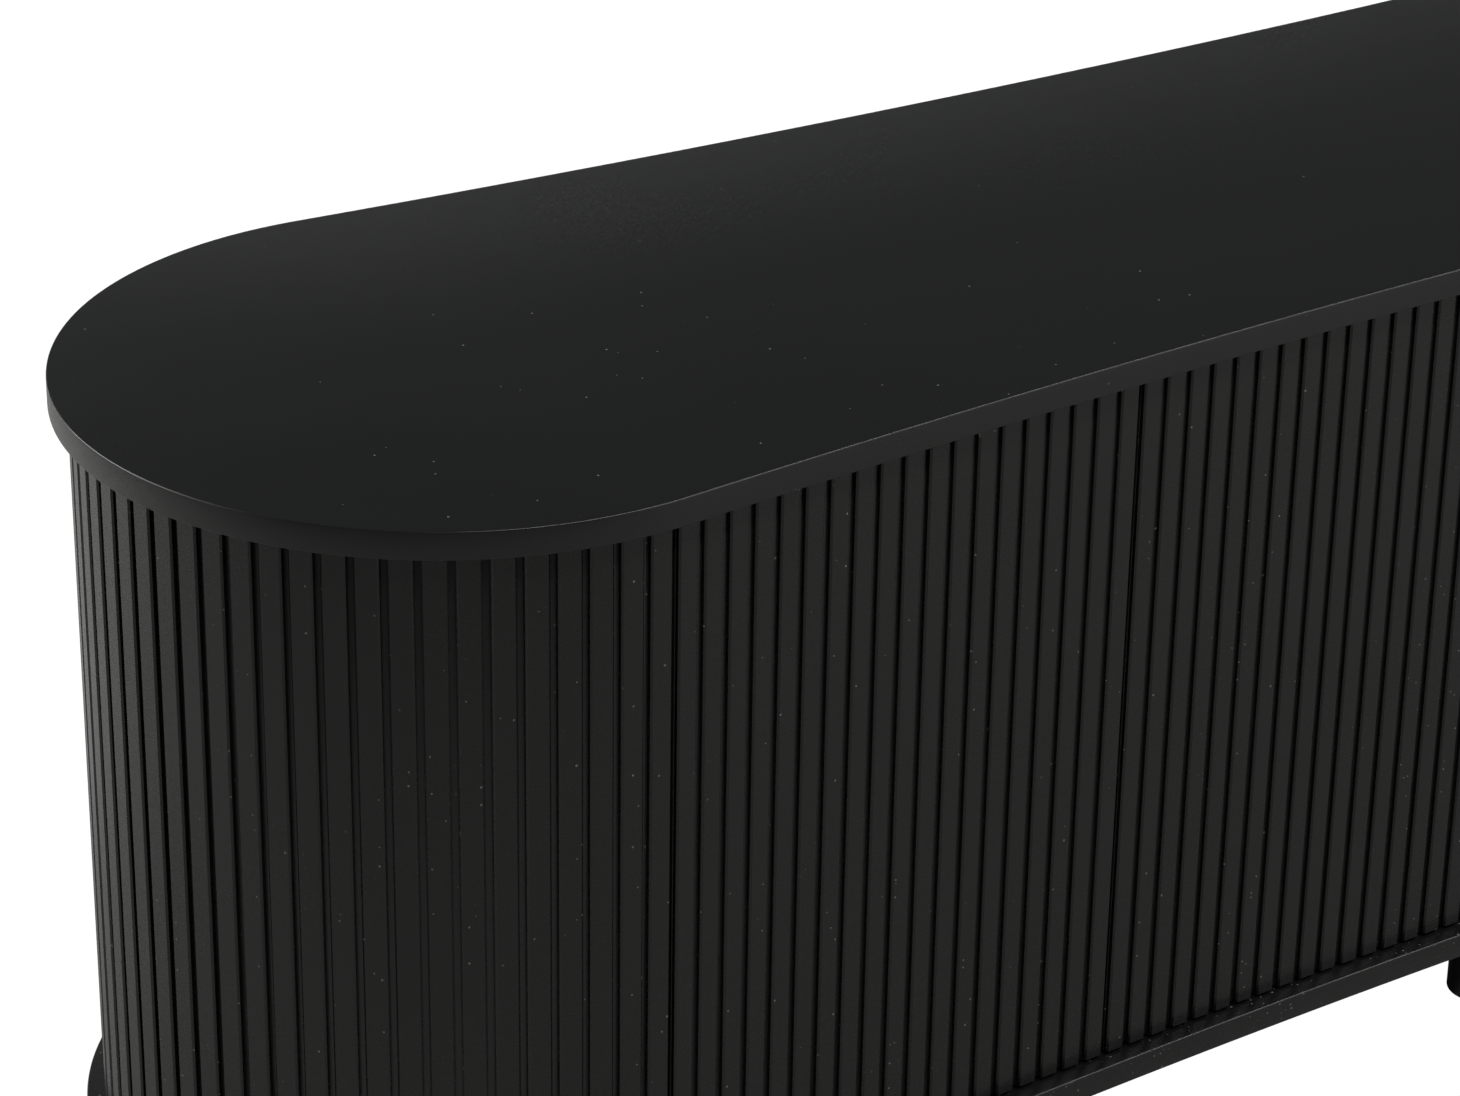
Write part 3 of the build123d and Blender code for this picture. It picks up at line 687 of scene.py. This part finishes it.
# ---- Doors ----
# Four doors: a 15 mm core moulded to the hollow front and sprayed, 19 slats on its face, and
# pockets in its ends for the pivot leaves. They open at a push, so nothing shows in front.
SLATS_PER_DOOR = 19
CORE_THICKNESS = 0.015
core_front = HOLLOW_RADIUS + BACK_OF_SLATS
door_turn = JOIN_TURN / 2
slat_turn = door_turn / SLATS_PER_DOOR
door_low, door_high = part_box("outer_left_door_core")
# the door cores are sprayed about twice as light as the slats, so the strips of core seen at the floors
# of the grooves read as lit: painted light
door_paint_with_painted_groove_light = painted("satin_black_door_painted_groove_light", (0.0110, 0.0110, 0.0107), 0.36, 0.06, 1.0, 0.04)
slat_width = slat_turn * (HOLLOW_RADIUS + LAND_INSET) - GROOVE
slats_low, slats_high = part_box("outer_left_door_slats")
door_pattern = one_slat(slat_width, slats_low.z, slats_high.z)


def door_pockets(which, side):
    """The leaf pockets and pin bores in a door's two ends, in one cutter."""
    top = leaf_cutter(which, side, door_high.z, -1, True)
    foot = leaf_cutter(which, side, door_low.z, 1, True)
    return into_one("pockets", [top, foot])


for which, first in (("outer", -JOIN_TURN), ("inner", -door_turn)):
    for side, flip in (("left", 1), ("right", -1)):
        body = f"{which}_{side}_door"
        slack = EDGE_GAP / HOLLOW_RADIUS
        start = math.pi / 2 - flip * first
        turn = -flip * (door_turn - 2 * slack)
        core = bent_board(f"{body}_board", (0, -HOLLOW_CENTRE), core_front, core_front + CORE_THICKNESS,
                          start - flip * slack, turn, 24, door_low.z, door_high.z, BOARD_ARRIS)
        cut_away(core, door_pockets(which, side))
        fit_piece(core, door_paint_with_painted_groove_light, body, f"{body}_core")
        places = []
        for index in range(SLATS_PER_DOOR):
            angle = first + (index + 0.5) * slat_turn
            x, y = front_place(angle, LAND_INSET)
            places.append((flip * x, y, -flip * angle))
        laid = glued_slats(door_pattern, places)
        cut_away(laid[0 if which == "outer" else -1], door_pockets(which, side))
        row = into_one(f"{body}_slat_row", laid)
        fit_piece(row, slat_black, body, f"{body}_slats")
bpy.data.objects.remove(door_pattern)

# ---- Pivot hinges ----
# Each door turns on two 4 mm steel pins. Zinc-plated leaves are let into the boards and the
# door, held by countersunk screws, and a nylon washer keeps them apart.
pin_steel = metal("drawn_pin", (0.50, 0.50, 0.50), (0.68, 0.68, 0.67), 0.22, 1500.0, (1, 1, 0.1))
dress(["hinge_pins"], pin_steel)
dress(["top_hinge_leaves", "bottom_hinge_leaves", "slab_leaf_screws"], zinc)
for which in PIVOTS:
    for side in ("left", "right"):
        dress([f"{which}_{side}_door_leaves", f"{which}_{side}_door_leaf_screws"], zinc)


def moulded(name, low, high, roughness, scale):
    """Moulded plastic: a faint flow in its colour and a fine spark-eroded grain."""
    material, tree, shader = new_material(name, roughness)
    where = node(tree, "ShaderNodeTexCoord").outputs["Object"]
    flow = sockets(node(tree, "ShaderNodeTexNoise"), Scale=60.0, Detail=2.0)
    grain = sockets(node(tree, "ShaderNodeTexNoise"), Scale=scale, Detail=2.0)
    for texture in (flow, grain):
        tree.links.new(where, texture.inputs["Vector"])
    share = mapped(tree, flow.outputs["Fac"], 0.3, 0.7, 0.0, 1.0)
    tree.links.new(mixed_colour(tree, share, (*low, 1), (*high, 1)), shader.inputs["Base Color"])
    sheen = mapped(tree, grain.outputs["Fac"], 0.3, 0.7, roughness - 0.05, roughness + 0.05)
    tree.links.new(sheen, shader.inputs["Roughness"])
    skin = sockets(node(tree, "ShaderNodeBump"), Strength=0.6, Distance=0.00004)
    tree.links.new(grain.outputs["Fac"], skin.inputs["Height"])
    tree.links.new(skin.outputs[0], shader.inputs["Normal"])
    return material


nylon = moulded("white_nylon", (0.62, 0.61, 0.57), (0.70, 0.69, 0.66), 0.42, 1600.0)
dress(["hinge_washers"], nylon)

# ---- Push latches ----
# A moulded housing under the top holds a sprung plunger, one for each door, at the place
# where two doors meet. A steel plate screwed inside the door gives it something to push on.
latch_grey = moulded("latch_grey", (0.055, 0.056, 0.058), (0.070, 0.071, 0.073), 0.45, 1800.0)
plunger_grey = moulded("plunger_grey", (0.16, 0.165, 0.17), (0.20, 0.205, 0.21), 0.38, 1800.0)
for which in PIVOTS:
    for side in ("left", "right"):
        dress([f"{which}_{side}_latch_housing"], latch_grey)
        dress([f"{which}_{side}_latch_plunger"], plunger_grey)
        dress([f"{which}_{side}_strike_plate"], zinc)
dress(["latch_screws"], zinc)

# ---- Back panels ----
# Two thin hardboard panels follow the hollow of the back and meet on the middle upright,
# black on the outside with a faint pressed grain. Pan-head screws hold their edges.
back_black, tree, shader = new_material("back_hardboard", 0.55)
where = node(tree, "ShaderNodeTexCoord").outputs["Object"]
press = sockets(node(tree, "ShaderNodeTexNoise"), Scale=340.0, Detail=5.0, Roughness=0.7)
cloud = sockets(node(tree, "ShaderNodeTexNoise"), Scale=12.0, Detail=4.0)
for texture in (press, cloud):
    tree.links.new(where, texture.inputs["Vector"])
patches = mapped(tree, cloud.outputs["Fac"], 0.3, 0.7, 0.0, 1.0)
tree.links.new(mixed_colour(tree, patches, (0.0125, 0.0125, 0.0122, 1), (0.0175, 0.0172, 0.0168, 1)),
               shader.inputs["Base Color"])
tree.links.new(mapped(tree, press.outputs["Fac"], 0.3, 0.7, 0.48, 0.64), shader.inputs["Roughness"])
weave = sockets(node(tree, "ShaderNodeBump"), Strength=0.7, Distance=0.00012)
tree.links.new(press.outputs["Fac"], weave.inputs["Height"])
tree.links.new(weave.outputs[0], shader.inputs["Normal"])
PANEL_INSET = 0.016
PANEL_THICKNESS = 0.006
panel_reach = HOLLOW_RADIUS + PANEL_INSET
half_gap = 0.00003 / panel_reach
for side, flip in (("left", -1), ("right", 1)):
    low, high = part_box(f"{side}_back_panel")
    panel = bent_board(f"{side}_back_board", (0, HOLLOW_CENTRE), panel_reach,
                       panel_reach + PANEL_THICKNESS, -math.pi / 2 + flip * half_gap,
                       flip * (JOIN_TURN - half_gap), 32, low.z, high.z, 0.0003)
    fit_piece(panel, back_black, "carcase", f"{side}_back_panel")
screw_black = metal("black_zinc", (0.03, 0.03, 0.032), (0.055, 0.055, 0.058), 0.38, 900.0)
dress(["back_panel_screws"], screw_black)

# ---- Shelves ----
# One adjustable shelf in each half, cut from the same board faced with black melamine. It
# lies on four zinc-plated steel pins pushed into the holes of the uprights.
dress(["left_shelf", "right_shelf"], melamine)
dress(["shelf_pins"], zinc)

# ---- Top board ----
# The same board again, laid over the carcase: its flat face is the widest thing seen, so
# its spray coat is the most even one.
top_low, top_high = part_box("top")
top_board = slab_board("top_board", top_low.z, top_high.z)
cut_away(top_board, all_pockets(top_low.z, 1))
fit_piece(top_board, board_black, "carcase", "top")
